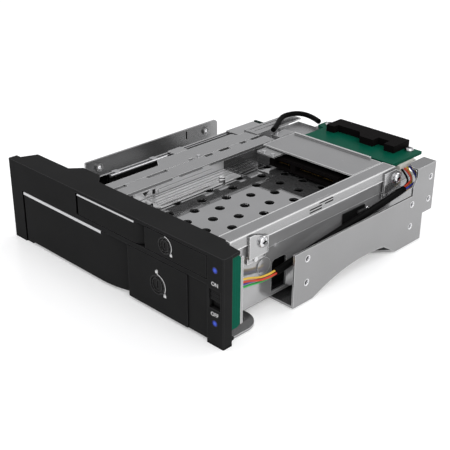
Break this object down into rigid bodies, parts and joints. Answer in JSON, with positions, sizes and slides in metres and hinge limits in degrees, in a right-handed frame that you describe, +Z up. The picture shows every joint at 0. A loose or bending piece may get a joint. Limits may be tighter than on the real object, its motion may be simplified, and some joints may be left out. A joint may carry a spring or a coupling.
{
  "type": "hot swap drive cage",
  "caption": "Drive cage for a half-height 5.25-inch bay: black front with two lockable swing doors, a perforated tray over a lower bay, ejector sliders, rear board and power switch.",
  "frame": {"origin": "at the lowest level, midway along the cage's depth and width", "axes": "+X to the right seen from the front, +Y from the front towards the rear sockets, +Z up"},
  "size_m": [0.148, 0.154, 0.045],
  "materials": {
    "bezel": "fine-grained satin black moulding",
    "trim": "satin silver",
    "core": "bright plated metal",
    "steel": "zinc-plated sheet, half mirror",
    "board_rear": "dark green solder mask",
    "board_front": "green solder mask",
    "plug": "black moulding",
    "pale_plug": "undyed nylon",
    "lens": "lit blue lens",
    "wire_yellow": "yellow insulation",
    "wire_red": "red insulation",
    "wire_blue": "blue insulation",
    "wire_green": "green insulation"
  },
  "bodies": {
    "chassis": {"backplane_25": "board_rear", "backplane_35": "board_rear", "base_pan": "steel", "board_screws": "core", "board_support": "steel", "bridge_tab": "steel", "cable_sleeve": "plug", "cage_wall_left": "steel", "cage_wall_right": "steel", "connector_25": "plug", "connector_35": "plug", "connector_clip": "steel", "cross_plate": "steel", "ear_rivets": "core", "ear_screws": "core", "front_bezel": "bezel", "front_board": "board_front", "front_header": "pale_plug", "hinge_pin_25": "core", "hinge_pin_35": "core", "left_rail_cover": "steel", "light_lower": "lens", "light_upper": "lens", "loop_cable": "plug", "plate_rivets": "core", "rear_board": "board_rear", "rear_bracket": "steel", "rear_header": "pale_plug", "rear_shelf": "steel", "rear_socket": "plug", "side_ear_front": "steel", "side_ear_rear": "steel", "slider_guide": "steel", "switch_body": "plug", "top_rail_left": "steel", "top_rail_right": "steel", "tray_25": "steel", "wire_blue": "wire_blue", "wire_green": "wire_green", "wire_rear_amber": "wire_yellow", "wire_rear_black": "plug", "wire_rear_crimson": "wire_red", "wire_rear_navy": "wire_blue", "wire_rear_ochre": "wire_yellow", "wire_red": "wire_red", "wire_yellow": "wire_yellow"},
    "door_25": {"door_25": "bezel", "door_25_strip": "trim", "lock_barrel_25": "trim"},
    "door_35": {"door_35": "bezel", "door_35_strip": "trim", "lock_barrel_35": "trim"},
    "lock_25": {"lock_core_25": "core", "lock_cam_25": "core"},
    "lock_35": {"lock_core_35": "core", "lock_cam_35": "core"},
    "switch": {"switch_knob": "bezel"},
    "slider_25": {"ejector_25": "steel"},
    "slider_35": {"ejector_35": "steel"}
  },
  "joints": [
    {"name": "door_25_hinge", "type": "hinge", "parent": "chassis", "child": "door_25", "pos_m": [-0.0186, -0.0752, 0.035], "axis": [0, 0, -1], "range_deg": [0, 92]},
    {"name": "door_35_hinge", "type": "hinge", "parent": "chassis", "child": "door_35", "pos_m": [-0.0624, -0.0752, 0.014], "axis": [0, 0, -1], "range_deg": [0, 92]},
    {"name": "lock_25_turn", "type": "hinge", "parent": "door_25", "child": "lock_25", "pos_m": [0.0393, -0.077, 0.0354], "axis": [0, 1, 0], "range_deg": [0, 90]},
    {"name": "lock_35_turn", "type": "hinge", "parent": "door_35", "child": "lock_35", "pos_m": [0.0341, -0.077, 0.0147], "axis": [0, 1, 0], "range_deg": [0, 90]},
    {"name": "switch_slide", "type": "slide", "parent": "chassis", "child": "switch", "axis": [0, 0, 1], "range_m": [-0.0034, 0]},
    {"name": "slider_25_slide", "type": "slide", "parent": "chassis", "child": "slider_25", "axis": [0, -1, 0], "range_m": [0, 0.009]},
    {"name": "slider_35_slide", "type": "slide", "parent": "chassis", "child": "slider_35", "axis": [0, -1, 0], "range_m": [0, 0.009]}
  ],
  "couplings": [
    {"joint": "slider_25_slide", "follows": "door_25_hinge", "m_per_rad": 0.0056},
    {"joint": "slider_35_slide", "follows": "door_35_hinge", "m_per_rad": 0.0056}
  ]
}
